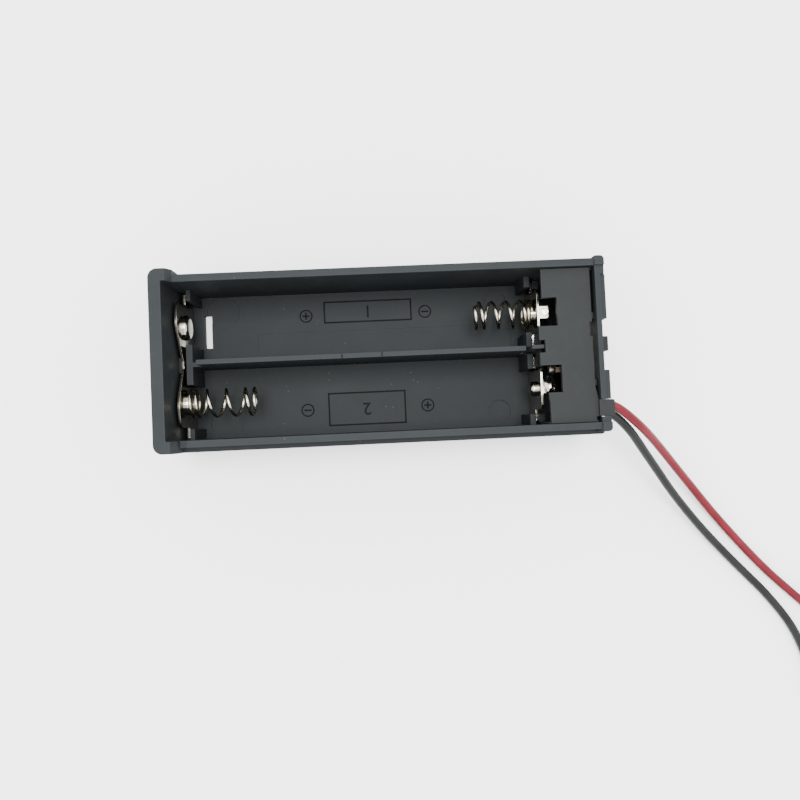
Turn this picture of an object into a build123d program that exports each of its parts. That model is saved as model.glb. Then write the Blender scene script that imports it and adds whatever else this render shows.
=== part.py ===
from build123d import *
import math
import os

# Holder for two small cylindrical cells, side by side, with a slide switch in its end and two leads.
# Millimetres. +X runs from the closed end to the switch end, +Y across the bays, +Z up out of the open side.
# The origin is the centre of the housing's base. The upper bay is at +Y and the lower bay at -Y.

# The cells that the holder takes, and the room round them
cell_diameter = 10.5
cell_length = 44.5
bay_clearance = 0.4
spring_room = 8.5
switch_room = 7.3
cover_room = 2.8

# Housing, outside
head_rise = 1.2
head_return = 2.35
head_slope = 0.7
head_corner = 1.3
end_corner = 0.6
base_edge = 0.5
ledge_width = 0.75
ledge_drop = 3.1
rail_groove_height = 0.8
rail_groove_depth = 0.3
rail_groove_rise = 0.6
gate_notch_length = 1.3
gate_notch_depth = 1.1
corner_lip_rise = 0.35
corner_lip_length = 1.35
corner_lip_reach = 0.35

# Housing, walls
rim_wall = 1.0
floor = 1.2
head_wall = 1.75
end_wall = 1.35
divider_wall = 0.7
divider_drop = 2.5
divider_left_gap = 2.8
divider_right_gap = 2.25
divider_slit_width = 0.25
divider_slit_depth = 0.5
divider_slit_from_middle = 2.9
divider_slit_offset = -2.9
arm_thickness = 0.54
arm_from_contacts = 1.65
arm_length = 1.75
arm_rise = 0.5

# Marks in the floor
plateau_height = 0.2
plateau_width = 4.75
plateau_from_head = 12.65
plateau_from_contacts = 2.5
slot_length = 5.3
slot_width = 1.2
slot_from_head = 4.1
mark_depth = 0.2
mark_radius_left = 2.6
mark_radius_right = 1.75
mark_from_wall = 2.4
mark_from_left = 7.2
mark_from_right = 13.7

# Contact seats
sheet = 0.3
seat_back = 0.5
seat_foot = 0.2
seat_gap = 0.05
post_clearance = 0.4
post_thickness = 0.95
post_width = 6.0
left_rib_clearance = 0.65
left_rib_thickness = 0.65
right_rib_clearance = 0.5
right_rib_thickness = 0.85
rib_length = 1.6
rib_rise = 1.75
wing_length = 2.75
wing_gap = 1.1
left_back_height = 4.8
left_back_width = 2.3
left_back_post_height = 7.7
right_back_thickness = 0.95
right_back_height = 6.4
right_back_reach = 0.45

# Contacts, with their heights above the cells' axis
link_saddle_rise = 1.65
link_saddle_width = 1.0
link_peak_rise = 4.85
link_peak_from_middle = 5.9
link_peak_corner = 3.0
link_shoulder_rise = 3.85
link_shoulder_from_middle = 9.4
link_shoulder_corner = 1.2
link_foot_gap = 0.3
end_lobe_rise = 3.95
end_lobe_width = 6.3
end_lobe_corner = 0.9
end_foot_gap = 0.6
foot_drop = 0.4
button_radius = 1.9
button_height = 0.75
button_roundness = 0.7
boss_height = 0.8
boss_clearance = 0.04
nub_radius = 1.15
nub_height = 0.95
negative_tab_width = 1.8
negative_tab_shift = 0.4
positive_tab_width = 1.6
tab_length = 1.4
tab_hole = 0.35
tab_hole_from_sheet = 0.85
tab_corner = 0.3

# Springs
spring_outer = 4.5
spring_wire = 0.5
link_spring_length = 10.65
link_spring_base_pitch = 0.9
link_spring_base_turns = 1.95
link_spring_free_turns = 2.55
negative_spring_length = 9.2
negative_spring_base_pitch = 0.53
negative_spring_base_turns = 2.0
negative_spring_free_turns = 3.0
spring_tip_pitch = 0.95
spring_tip_turns = 1.1
spring_points_per_turn = 12

# Switch end
recess_depth = 0.62
recess_width = 7.4
recess_foot = 4.4
recess_middle = -0.1
slab_thickness = 0.56
slab_rise = 0.2
slab_drop = 0.4
slab_end = 2.25
wire_notch_width = 2.5
wire_notch_from_wall = 2.05
wire_drop = 2.5
wire_diameter = 1.3
wire_spacing = 1.0
wire_step = 0.9
wire_clearance = 0.1
wire_notch_room = 1.35

# Inner plate over the switch
plate_thickness = 0.8
plate_drop = 0.8
plate_length = 7.1
plate_clearance = 0.1
plate_middle_step = 0.65
plate_low_step = 0.5
plate_end_gap = 0.5
upper_notch_near = 2.9
upper_notch_width = 4.1
upper_notch_depth = 2.15
lower_notch_near = 2.75
lower_notch_width = 3.95
lower_notch_depth = 2.4
plate_slot_width = 1.8
plate_slot_depth = 0.85
plate_nick_width = 2.1
plate_nick_depth = 0.35
plate_nick_middle = 2.2
plate_shelf = 0.35
tongue_side_gap = 0.06
tongue_overhang = 0.65
tongue_rise = 0.55
tongue_raised_start = 0.2
tongue_corner = 0.3
tongue_root = 0.4
gusset_width = 1.9
gusset_tip = 0.2
gusset_gap = 0.15

# Slide switch
switch_middle = -0.6
switch_length = 8.6
switch_height = 4.3
switch_depth = 3.55
switch_drop = 5.85
can_wall = 0.3
board = 0.8
pin_spacing = 2.5
pin_width = 0.8
pin_thickness = 0.4
pin_reach = 2.3
pin_head = 0.3
pin_head_width = 1.5
slider_end_gap = 0.3
slider_thickness = 1.5
slider_clearance = 0.1
knob_width = 2.2
knob_height = 2.7
knob_overhang = 1.6
knob_edge = 0.25
knob_clearance = 0.25
switch_travel = 2.0
wiper_width = 2.4
wiper_metal = 0.15
wiper_clearance = 0.06
wiper_inset = 0.4
wiper_far_gap = 0.8
pocket_rib = 0.9
pocket_clearance = 0.1

# Joints in solder
solder_roundness = 0.6
solder_below = 0.5
positive_solder_radius = 0.9
positive_solder_height = 1.1
negative_solder_radius = 0.55
negative_solder_height = 0.18
pin_solder_length = 1.2
pin_solder_cap = 0.2
pin_solder_radius = 0.7

# Leads
jumper_diameter = 1.0
jumper_drop = 1.4
jumper_sag = 1.45
jumper_knee = 0.45
jumper_side = 0.9
jumper_rise = 0.2
jumper_last = 0.4
bead_overlap = 0.1
tip_diameter = 0.8
tip_arc = 62.0
coil_outer_radius = 8.6
coil_pitch = 1.45
coil_clearance = 0.15
coil_mouth = 3.0
red_coil_turns = 1.9
black_coil_turns = 1.5
red_coil_x = 76.6
red_coil_y = -40.0
red_coil_entry = 225.0
black_coil_x = 77.6
black_coil_y = -59.6
black_coil_entry = 205.0
run_share = 0.45

# Places that follow from the sizes above
contact_span = sheet + cell_length + spring_room + sheet
body_length = head_wall + seat_back + contact_span + switch_room + end_wall
half_length = body_length / 2
divider_half = divider_wall / 2
bay_width = cell_diameter + bay_clearance
inner_half = divider_half + bay_width
rim_half = inner_half + rim_wall
half_width = rim_half + ledge_width
rim_height = floor + cell_diameter + cover_room
head_end = -half_length + head_return + head_slope
ledge_height = rim_height - ledge_drop
head_height = rim_height + head_rise
head_inner = -half_length + head_wall
end_inner = half_length - end_wall
divider_height = rim_height - divider_drop
bay_middle = divider_half + bay_width / 2
cell_axis_height = floor + cell_diameter / 2
rib_height = cell_axis_height + rib_rise
link_saddle_height = cell_axis_height + link_saddle_rise
link_peak_height = cell_axis_height + link_peak_rise
link_shoulder_height = cell_axis_height + link_shoulder_rise
end_lobe_height = cell_axis_height + end_lobe_rise
foot_height = cell_axis_height - foot_drop
end_foot_width = bay_width - 2 * end_foot_gap
link_back = head_inner + seat_back
link_face = link_back + sheet
link_post = link_face + post_clearance
left_rib = link_face + left_rib_clearance
right_face = link_face + cell_length + spring_room
right_back = right_face + sheet
right_rib = right_face - right_rib_clearance - right_rib_thickness
right_seat = right_back + seat_gap
plate_top = rim_height - plate_drop
plate_bottom = plate_top - plate_thickness
plate_end = end_inner - plate_end_gap
recess_face = half_length - recess_depth
spring_radius = (spring_outer - spring_wire) / 2
wire_notch_middle = -inner_half + wire_notch_from_wall
tongue_width = wire_notch_width - 2 * tongue_side_gap
wire_height = rim_height - wire_drop
switch_axis_height = rim_height - switch_drop
switch_front = end_inner - seat_gap
switch_back = switch_front - switch_depth
switch_low = switch_axis_height - switch_height / 2
switch_high = switch_axis_height + switch_height / 2
board_front = switch_back + board
knob_rest = switch_middle + switch_travel / 2
knob_tip = half_length + knob_overhang
slider_length = switch_length - 2 * can_wall - switch_travel - 2 * slider_end_gap
wiper_length = slider_length - wiper_inset - wiper_far_gap
slider_front = switch_front - can_wall - slider_clearance / 2
slider_back = slider_front - slider_thickness
pin_tip = switch_back - pin_reach
tab_hole_x = right_back + tab_hole_from_sheet
negative_tab_y = bay_middle - negative_tab_shift
joint_height = end_lobe_height - sheet - solder_below


def block(x0, x1, y0, y1, z0, z1):
    """A box between two opposite corners."""
    middle = Pos((x0 + x1) / 2, (y0 + y1) / 2, (z0 + z1) / 2)
    return middle * Box(x1 - x0, y1 - y0, z1 - z0)


def rod_x(x0, x1, y, z, radius):
    """A round bar along X."""
    return Pos((x0 + x1) / 2, y, z) * Rot(0, 90, 0) * Cylinder(radius, x1 - x0)


def upright_edges(solid, x):
    """The vertical edges of a solid that lie at one X."""
    return solid.edges().filter_by(Axis.Z).filter_by(lambda e: abs(e.center().X - x) < 0.01)


def closed_end():
    """The taller closed end, whose sides slope down to the rim."""
    outline = Polyline(
        (-half_length, 0),
        (head_end, 0),
        (head_end, rim_height),
        (head_end - head_slope, head_height),
        (-half_length, head_height),
        close=True,
    )
    head = extrude(Plane.XZ * make_face(outline), half_width, both=True)
    return fillet(upright_edges(head, -half_length), head_corner)


def outer_shell():
    """The housing's walls and floor, with the taller closed end and the ledge for the cover."""
    low = block(head_end, half_length, -half_width, half_width, 0, ledge_height)
    rim = block(head_end, half_length, -rim_half, rim_half, 0, rim_height)
    shell = fillet(upright_edges(low + rim, half_length), end_corner)
    shell += closed_end()
    shell = chamfer(shell.edges().group_by(Axis.Z)[0], base_edge)
    hollow = block(head_inner, end_inner, -inner_half, inner_half, floor, head_height + 1)
    return shell - hollow


def rail_grooves():
    """The grooves in the outer faces of the rim, which the cover's edges run in."""
    low = ledge_height + rail_groove_rise
    cuts = []
    for side in (-1, 1):
        y0 = side * (rim_half - rail_groove_depth)
        y1 = side * (rim_half + 1)
        high = low + rail_groove_height
        end = half_length - corner_lip_length
        cuts.append(block(head_end, end, min(y0, y1), max(y0, y1), low, high))
    return cuts


def divider():
    """The wall between the bays, low at both ends, with a post, two wings and the arm that meets the plate."""
    start = link_face + divider_left_gap
    end = right_face - divider_right_gap
    wall = block(start, end, -divider_half, divider_half, floor, divider_height)
    for number in (0, 1):
        x = divider_slit_offset + (2 * number - 1) * divider_slit_from_middle
        top = divider_height - divider_slit_depth
        half = divider_slit_width / 2
        wall -= block(x - half, x + half, -divider_wall, divider_wall, top, divider_height + 1)
    wall += block(link_post, start + 1, -divider_half, divider_half, floor, rib_height)
    back_end = right_back + right_back_reach
    wall += block(end - 1, back_end, -divider_half, divider_half, floor, right_back_height)
    post_half = post_width / 2
    wall += block(link_post, link_post + post_thickness, -post_half, post_half, floor, rib_height)
    rib_end = right_rib + right_rib_thickness
    wall += block(right_rib, rib_end, -wing_length, wing_length, floor, rib_height)
    wing_half = wing_gap / 2
    wall -= block(end, rib_end + 1, -wing_half, wing_half, right_back_height, rib_height + 1)
    arm_start = right_face - arm_from_contacts
    arm_half = arm_thickness / 2
    wall += block(arm_start, arm_start + arm_length, -arm_half, arm_half, floor, plate_bottom + arm_rise)
    seat_end = right_seat + right_back_thickness
    return wall + block(right_seat, seat_end, -wing_length, wing_length, floor, right_back_height)


def contact_ribs():
    """The upright ribs on the walls that hold the edges of the contact sheets."""
    ribs = []
    seat_end = right_seat + right_back_thickness
    for side in (-1, 1):
        wall_y = side * inner_half
        rib_y = side * (inner_half - rib_length)
        y0 = min(wall_y, rib_y)
        y1 = max(wall_y, rib_y)
        ribs.append(block(left_rib, left_rib + left_rib_thickness, y0, y1, floor, rib_height))
        ribs.append(block(right_rib, right_rib + right_rib_thickness, y0, y1, floor, rib_height))
        ribs.append(block(right_seat, seat_end, y0, y1, floor, right_back_height))
        ribs.append(block(head_inner, link_back, y0, y1, floor, left_back_height))
    half = left_back_width / 2
    ribs.append(block(head_inner, link_back, -half, half, floor, left_back_post_height))
    return ribs


def floor_marks():
    """The round marks that the mould leaves in the floor."""
    left = -half_length + mark_from_left
    right = half_length - mark_from_right
    y = inner_half - mark_from_wall
    top = floor - mark_depth / 2
    marks = []
    for side in (-1, 1):
        marks.append(Pos(left, side * y, top) * Cylinder(mark_radius_left, mark_depth))
        marks.append(Pos(right, side * y, top) * Cylinder(mark_radius_right, mark_depth))
    return marks


def switch_pocket():
    """The shelf and the two ribs that hold the switch behind the end wall."""
    low_end = switch_middle - switch_length / 2 - pocket_clearance
    high_end = switch_middle + switch_length / 2 + pocket_clearance
    start = board_front
    shelf = block(start, end_inner, low_end - pocket_rib, high_end + pocket_rib, floor, switch_low)
    low_rib = block(start, end_inner, low_end - pocket_rib, low_end, floor, plate_bottom)
    high_rib = block(start, end_inner, high_end, high_end + pocket_rib, floor, plate_bottom)
    return shelf + low_rib + high_rib


def plate_shelves():
    """The narrow shelves along the long walls that carry the inner plate."""
    shelves = []
    for side in (-1, 1):
        y0 = side * inner_half
        y1 = side * (inner_half - plate_shelf)
        shelves.append(block(right_seat, end_inner, min(y0, y1), max(y0, y1), floor, plate_bottom))
    return shelves


def end_slab():
    """The raised panel on the outside of the switch end."""
    half = rim_half - slab_end
    top = rim_height - slab_drop
    return block(half_length - slab_thickness, half_length + slab_rise, -half, half, recess_foot, top)


def end_wall_cuts():
    """The cuts at the switch end: the recess, the knob's slot, the step in the rim and the wire notch."""
    recess_low = recess_middle - recess_width / 2
    recess_high = recess_middle + recess_width / 2
    recess = block(recess_face, half_length + 1, recess_low, recess_high, recess_foot, rim_height + 1)
    slot_low = knob_rest - switch_travel - knob_width / 2 - knob_clearance
    slot_high = knob_rest + knob_width / 2 + knob_clearance
    slot_foot = switch_axis_height - knob_height / 2 - knob_clearance
    slot_top = switch_axis_height + knob_height / 2 + knob_clearance
    slot = block(end_inner - 1, half_length + 1, slot_low, slot_high, slot_foot, slot_top)
    slab_face = half_length - slab_thickness
    slab_y = rim_half - slab_end
    step = block(slab_face, half_length + 1, -slab_y, slab_y, rim_height - slab_drop, rim_height + 1)
    notch_low = wire_notch_middle - wire_notch_width / 2
    notch_high = wire_notch_middle + wire_notch_width / 2
    notch_foot = wire_height - wire_diameter / 2 - wire_notch_room
    notch = block(end_inner - 1, half_length + 1, notch_low, notch_high, notch_foot, rim_height + 1)
    return [recess, slot, step, notch]


def corner_lips():
    """The raised corners at the switch end, which stop the cover."""
    lips = []
    x0 = half_length - corner_lip_length
    for side in (-1, 1):
        y0 = side * inner_half
        y1 = side * (rim_half + corner_lip_reach)
        top = rim_height + corner_lip_rise
        lip = block(x0, half_length, min(y0, y1), max(y0, y1), ledge_height - 1, top)
        outer = upright_edges(lip, half_length).filter_by(lambda e: abs(e.center().Y) > rim_half)
        lips.append(fillet(outer, end_corner))
    return lips


def housing():
    """The moulded body."""
    body = outer_shell()
    body += divider()
    for rib in contact_ribs() + plate_shelves() + corner_lips() + [end_slab()]:
        body += rib
    body += switch_pocket()
    start = -half_length + plateau_from_head
    end = right_face - plateau_from_contacts
    body += block(start, end, divider_half, divider_half + plateau_width, floor, floor + plateau_height)
    slot_x = -half_length + slot_from_head
    slot_low = bay_middle - slot_length / 2
    slot_high = bay_middle + slot_length / 2
    through = block(slot_x, slot_x + slot_width, slot_low, slot_high, -1, floor + 1)
    gate_foot = rim_height - gate_notch_depth
    gate = block(head_end, head_end + gate_notch_length, -half_width, -inner_half, gate_foot, rim_height + 1)
    for cut in end_wall_cuts() + rail_grooves() + floor_marks() + [through, gate]:
        body -= cut
    return body


def lead_tongue():
    """The tongue that holds the leads down in their notch, on a slanted root."""
    low = wire_notch_middle - tongue_width / 2
    high = wire_notch_middle + tongue_width / 2
    foot = wire_height + wire_diameter / 2 + wire_clearance
    start = plate_end - tongue_root
    end = half_length + tongue_overhang
    strip = block(start, end, low, high, foot, plate_top)
    strip += block(end_inner - tongue_raised_start, end, low, high, foot, plate_top + tongue_rise)
    strip = fillet(upright_edges(strip, end), tongue_corner)
    root_end = end_inner - gusset_gap
    outline = Polyline(
        (start, low),
        (root_end, low),
        (root_end, high + gusset_tip),
        (plate_end, high + gusset_width),
        (start, high + gusset_width),
        close=True,
    )
    return strip + extrude(Plane.XY.offset(plate_bottom) * make_face(outline), plate_thickness)


def switch_cover():
    """The flat inner plate over the switch, with its notches and the tongue that holds the leads down."""
    inner = inner_half - plate_clearance
    edge = plate_end - plate_length
    middle_edge = edge - plate_middle_step
    low_edge = edge + plate_low_step
    slot_end = middle_edge + plate_slot_depth
    slot_half = plate_slot_width / 2
    upper_end = edge + upper_notch_depth
    upper_far = upper_notch_near + upper_notch_width
    lower_end = edge + lower_notch_depth
    lower_far = lower_notch_near + lower_notch_width
    nick_end = plate_end - plate_nick_depth
    nick_low = plate_nick_middle - plate_nick_width / 2
    nick_high = plate_nick_middle + plate_nick_width / 2
    outline = Polyline(
        (edge, inner),
        (edge, upper_far),
        (upper_end, upper_far),
        (upper_end, upper_notch_near),
        (middle_edge, upper_notch_near),
        (middle_edge, slot_half),
        (slot_end, slot_half),
        (slot_end, -slot_half),
        (middle_edge, -slot_half),
        (middle_edge, -lower_notch_near),
        (lower_end, -lower_notch_near),
        (lower_end, -lower_far),
        (low_edge, -lower_far),
        (low_edge, -inner),
        (plate_end, -inner),
        (plate_end, nick_low),
        (nick_end, nick_low),
        (nick_end, nick_high),
        (plate_end, nick_high),
        (plate_end, inner),
        close=True,
    )
    plate = extrude(Plane.XY.offset(plate_bottom) * make_face(outline), plate_thickness)
    return plate + lead_tongue()


def link_outline():
    """The upright outline of the closed end's contact: a peak for each bay, a saddle and two feet."""
    foot = floor + seat_foot
    foot_end = inner_half - link_foot_gap
    half = [
        (link_saddle_width / 2, link_saddle_height),
        (link_peak_from_middle, link_peak_height),
        (link_shoulder_from_middle, link_shoulder_height),
        (link_shoulder_from_middle, foot_height),
        (foot_end, foot_height),
        (foot_end, foot),
    ]
    other_half = [(-y, z) for y, z in reversed(half)]
    outline = make_face(Polyline(*half, *other_half, close=True))
    peaks = outline.vertices().filter_by(lambda v: abs(v.Y - link_peak_height) < 0.01)
    outline = fillet(peaks, link_peak_corner)
    shoulders = outline.vertices().filter_by(lambda v: abs(v.Y - link_shoulder_height) < 0.01)
    return fillet(shoulders, link_shoulder_corner)


def end_outline(y):
    """The upright outline of a contact at the switch end: a lobe with rounded corners on a wider foot."""
    foot = floor + seat_foot
    tall = end_lobe_height - foot
    whole = Pos(y, foot + tall / 2) * RectangleRounded(end_lobe_width, tall, end_lobe_corner)
    return whole + Pos(y, (foot_height + foot) / 2) * Rectangle(end_foot_width, foot_height - foot)


def sheet_from(outline, x):
    """A flat sheet whose back lies at one X, from an outline in Y and Z."""
    return extrude(Plane.YZ.offset(x) * outline, sheet)


def raised_button(x, y, z, radius, height, toward):
    """A round domed button pressed out of a sheet, hollow behind."""
    outer = Plane.XY * Circle(radius)
    solid = extrude(outer, height)
    solid = fillet(solid.edges().group_by(Axis.Z)[-1], height * button_roundness)
    turn = Rot(0, 90 * toward, 0)
    return Pos(x, y, z) * turn * solid


def button_hollow(x, y, z, radius, height, toward):
    """The space behind a pressed button."""
    solid = extrude(Plane.XY * Circle(radius - sheet), height)
    turn = Rot(0, 90 * toward, 0)
    return Pos(x, y, z) * turn * solid


def link_contact():
    """The sheet that joins the two bays at the closed end, with a button and a boss for the spring."""
    plate = sheet_from(link_outline(), link_back)
    z = cell_axis_height
    boss_radius = spring_radius - spring_wire / 2 - boss_clearance
    plate += raised_button(link_face, bay_middle, z, button_radius, button_height, 1)
    plate += raised_button(link_face, -bay_middle, z, boss_radius, boss_height, 1)
    plate -= button_hollow(link_back, bay_middle, z, button_radius, button_height, 1)
    plate -= button_hollow(link_back, -bay_middle, z, boss_radius, boss_height, 1)
    return plate


def solder_tab(y, width):
    """The tab at a contact's top, bent back over the switch compartment."""
    low = end_lobe_height - sheet
    tab = block(right_face, right_back + tab_length, y - width / 2, y + width / 2, low, end_lobe_height)
    tab = fillet(upright_edges(tab, right_back + tab_length), tab_corner)
    return tab - Pos(tab_hole_x, y, low) * Cylinder(tab_hole, 4 * sheet)


def negative_contact():
    """The contact behind the upper bay's spring."""
    plate = sheet_from(end_outline(bay_middle), right_face) + solder_tab(negative_tab_y, negative_tab_width)
    boss_radius = spring_radius - spring_wire / 2 - boss_clearance
    plate += raised_button(right_face, bay_middle, cell_axis_height, boss_radius, boss_height, -1)
    plate -= button_hollow(right_back, bay_middle, cell_axis_height, boss_radius, boss_height, -1)
    return plate


def positive_contact():
    """The contact with a nub that meets the cell's raised end in the lower bay."""
    plate = sheet_from(end_outline(-bay_middle), right_face) + solder_tab(-bay_middle, positive_tab_width)
    plate += raised_button(right_face, -bay_middle, cell_axis_height, nub_radius, nub_height, -1)
    plate -= button_hollow(right_back, -bay_middle, cell_axis_height, nub_radius, nub_height, -1)
    return plate


def spring_rise(turn, length, base_pitch, base_turns, free_turns):
    """How far a spring's wire has climbed after some turns: close, then open, then close at the tip."""
    climb = length - spring_wire - base_pitch * base_turns - spring_tip_pitch * spring_tip_turns
    rise = base_pitch * min(turn, base_turns)
    rise += climb * min(max(turn / free_turns - base_turns / free_turns, 0), 1)
    rise += spring_tip_pitch * max(turn - base_turns - free_turns, 0)
    return rise


def coil_spring(length, base_pitch, base_turns, free_turns):
    """A spring that stands on Z = 0, wound from one wire."""
    turns = base_turns + free_turns + spring_tip_turns
    count = round(turns * spring_points_per_turn)
    points = []
    for number in range(count + 1):
        turn = turns * number / count
        near = []
        for step in range(-3, 4):
            near.append(spring_rise(turn + step / 24, length, base_pitch, base_turns, free_turns))
        rise = sum(near) / len(near) + spring_wire / 2
        angle = 2 * math.pi * turn
        points.append((spring_radius * math.cos(angle), spring_radius * math.sin(angle), rise))
    path = Spline(*points)
    section = Plane(origin=path @ 0, z_dir=path % 0) * Circle(spring_wire / 2)
    return sweep(section, path=path, is_frenet=True)


def link_spring():
    """The spring on the closed end's contact, in the lower bay."""
    turns = (link_spring_base_pitch, link_spring_base_turns, link_spring_free_turns)
    spring = coil_spring(link_spring_length, *turns)
    return Pos(link_face + seat_gap, -bay_middle, cell_axis_height) * Rot(0, 90, 0) * spring


def negative_spring():
    """The spring on the negative contact, in the upper bay."""
    turns = (negative_spring_base_pitch, negative_spring_base_turns, negative_spring_free_turns)
    spring = coil_spring(negative_spring_length, *turns)
    return Pos(right_face - seat_gap, bay_middle, cell_axis_height) * Rot(0, -90, 0) * spring


def solder_drop(y, radius, height):
    """Solder on a tab and through its hole, down to the end of a wire."""
    foot = (Align.CENTER, Align.CENTER, Align.MIN)
    drop = Pos(tab_hole_x, y, end_lobe_height) * Cylinder(radius, height, align=foot)
    drop = fillet(drop.edges().group_by(Axis.Z)[-1], height * solder_roundness)
    through = Pos(tab_hole_x, y, joint_height) * Cylinder(tab_hole, end_lobe_height - joint_height, align=foot)
    under = Pos(tab_hole_x, y, joint_height) * Cylinder(wire_diameter / 2, solder_below, align=foot)
    return drop + through + under


def switch_frame():
    """The switch's folded steel shell: a front with the knob's slot and two long sides."""
    y0 = switch_middle - switch_length / 2
    y1 = switch_middle + switch_length / 2
    front = block(switch_front - can_wall, switch_front, y0, y1, switch_low, switch_high)
    slot_low = knob_rest - switch_travel - knob_width / 2 - knob_clearance
    slot_high = knob_rest + knob_width / 2 + knob_clearance
    slot_foot = switch_axis_height - knob_height / 2 - knob_clearance
    slot_top = switch_axis_height + knob_height / 2 + knob_clearance
    front -= block(switch_front - 1, switch_front + 1, slot_low, slot_high, slot_foot, slot_top)
    low_side = block(switch_back + board, switch_front, y0, y1, switch_low, switch_low + can_wall)
    high_side = block(switch_back + board, switch_front, y0, y1, switch_high - can_wall, switch_high)
    low_cheek = block(switch_back + board, switch_front, y0, y0 + can_wall, switch_low, switch_high)
    high_cheek = block(switch_back + board, switch_front, y1 - can_wall, y1, switch_low, switch_high)
    return front + low_side + high_side + low_cheek + high_cheek


def pin_y(number):
    """Where across the switch a terminal stands."""
    return switch_middle + (number - 1) * pin_spacing


def switch_base():
    """The insulating board at the switch's back, with its terminals' holes."""
    y0 = switch_middle - switch_length / 2
    y1 = switch_middle + switch_length / 2
    body = block(switch_back, board_front, y0, y1, switch_low, switch_high)
    for number in range(3):
        y = pin_y(number)
        half = pin_width / 2
        low = switch_axis_height - pin_thickness / 2
        high = switch_axis_height + pin_thickness / 2
        body -= block(switch_back - 1, board_front + 1, y - half, y + half, low, high)
    return body


def switch_terminal(number):
    """A flat pin through the board, with a wider head on the inside that the wiper runs on."""
    y = pin_y(number)
    half = pin_width / 2
    head = pin_head_width / 2
    low = switch_axis_height - pin_thickness / 2
    high = switch_axis_height + pin_thickness / 2
    pin = block(pin_tip, board_front, y - half, y + half, low, high)
    low = switch_axis_height - head
    high = switch_axis_height + head
    return pin + block(board_front, board_front + pin_head, y - head, y + head, low, high)


def switch_slider():
    """The sliding block of the switch, with the knob that stands in the end wall's recess."""
    y = knob_rest
    half = slider_length / 2
    low = switch_low + can_wall + slider_clearance
    high = switch_high - can_wall - slider_clearance
    slide = block(slider_back, slider_front, y - half, y + half, low, high)
    knob_low = switch_axis_height - knob_height / 2
    knob_high = switch_axis_height + knob_height / 2
    knob = block(slider_back, knob_tip, y - knob_width / 2, y + knob_width / 2, knob_low, knob_high)
    knob = fillet(knob.faces().sort_by(Axis.X)[-1].edges(), knob_edge)
    return slide + knob


def switch_wiper():
    """The bent strip under the slider that bridges two terminals."""
    y = knob_rest - slider_length / 2 + wiper_length / 2 + wiper_inset
    half = wiper_length / 2
    z0 = switch_axis_height - wiper_width / 2
    z1 = switch_axis_height + wiper_width / 2
    near = board_front + pin_head + wiper_clearance
    back = block(slider_back - wiper_metal, slider_back, y - half, y + half, z0, z1)
    foot = wiper_length / 4
    low = block(near, slider_back, y - half, y - half + wiper_metal, z0, z1)
    high = block(near, slider_back, y + half - wiper_metal, y + half, z0, z1)
    low_foot = block(near, near + wiper_metal, y - half, y - half + foot, z0, z1)
    high_foot = block(near, near + wiper_metal, y + half - foot, y + half, z0, z1)
    return back + low + high + low_foot + high_foot


def pin_solder(number):
    """The solder round a terminal's end."""
    y = pin_y(number)
    start = pin_tip - pin_solder_cap
    end = start + pin_solder_length
    bead = rod_x(start, end, y, switch_axis_height, pin_solder_radius)
    bead = fillet(bead.edges().filter_by(GeomType.CIRCLE), pin_solder_radius * solder_roundness)
    half = pin_width / 2
    low = switch_axis_height - pin_thickness / 2
    high = switch_axis_height + pin_thickness / 2
    return bead - block(pin_tip, end + 1, y - half, y + half, low, high)


def corner_radii(points):
    """For each corner of a route, the largest arc that its two runs leave room for."""
    radii = []
    for before, corner, after in zip(points, points[1:], points[2:]):
        run_in = Vector(*corner) - Vector(*before)
        run_out = Vector(*after) - Vector(*corner)
        turn = math.radians(run_in.get_angle(run_out))
        shorter = min(run_in.length, run_out.length)
        radii.append(run_share * shorter / math.tan(turn / 2))
    return radii


def tube(points, diameter, name):
    """A round wire along straight runs joined by arcs."""
    radii = corner_radii(points)
    path = FilletPolyline(*points, radius=radii)
    section = Plane(origin=path @ 0, z_dir=path % 0) * Circle(diameter / 2)
    solid = sweep(section, path=path)
    share = solid.volume / (math.pi * diameter**2 / 4 * path.length)
    print(name, "length", round(path.length, 2), "volume share", round(share, 4))
    print(name, "radii", [round(radius, 1) for radius in radii])
    return solid


def inner_radius(turns):
    """The radius that a coil has left at its inner end."""
    return coil_outer_radius - coil_pitch * turns


def mouth(x, y, entry):
    """Where a lead leaves off its free stretch, just before it runs into its coil."""
    angle = math.radians(entry)
    across = coil_outer_radius * math.cos(angle) + coil_mouth * math.sin(angle)
    along = coil_outer_radius * math.sin(angle) - coil_mouth * math.cos(angle)
    return (x + across, y + along, wire_diameter / 2)


def lead_coil(x, y, turns):
    """The outer shape of a lead's put-away turns, a flat ring on the surface."""
    outer = coil_outer_radius + wire_diameter / 2
    inner = inner_radius(turns) + wire_diameter / 2 + coil_clearance
    ring = Pos(x, y, wire_diameter / 2) * Cylinder(outer, wire_diameter)
    return ring - Pos(x, y, wire_diameter / 2) * Cylinder(inner, 3 * wire_diameter)


def lead_tip(x, y, entry, turns):
    """The tinned bare end of a lead, which goes on round the inside of its coil."""
    start = (entry + 360 * turns) % 360
    path = Pos(x, y, wire_diameter / 2) * CenterArc((0, 0, 0), inner_radius(turns), start, tip_arc)
    section = Plane(origin=path @ 0, z_dir=path % 0) * Circle(tip_diameter / 2)
    return sweep(section, path=path)


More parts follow.
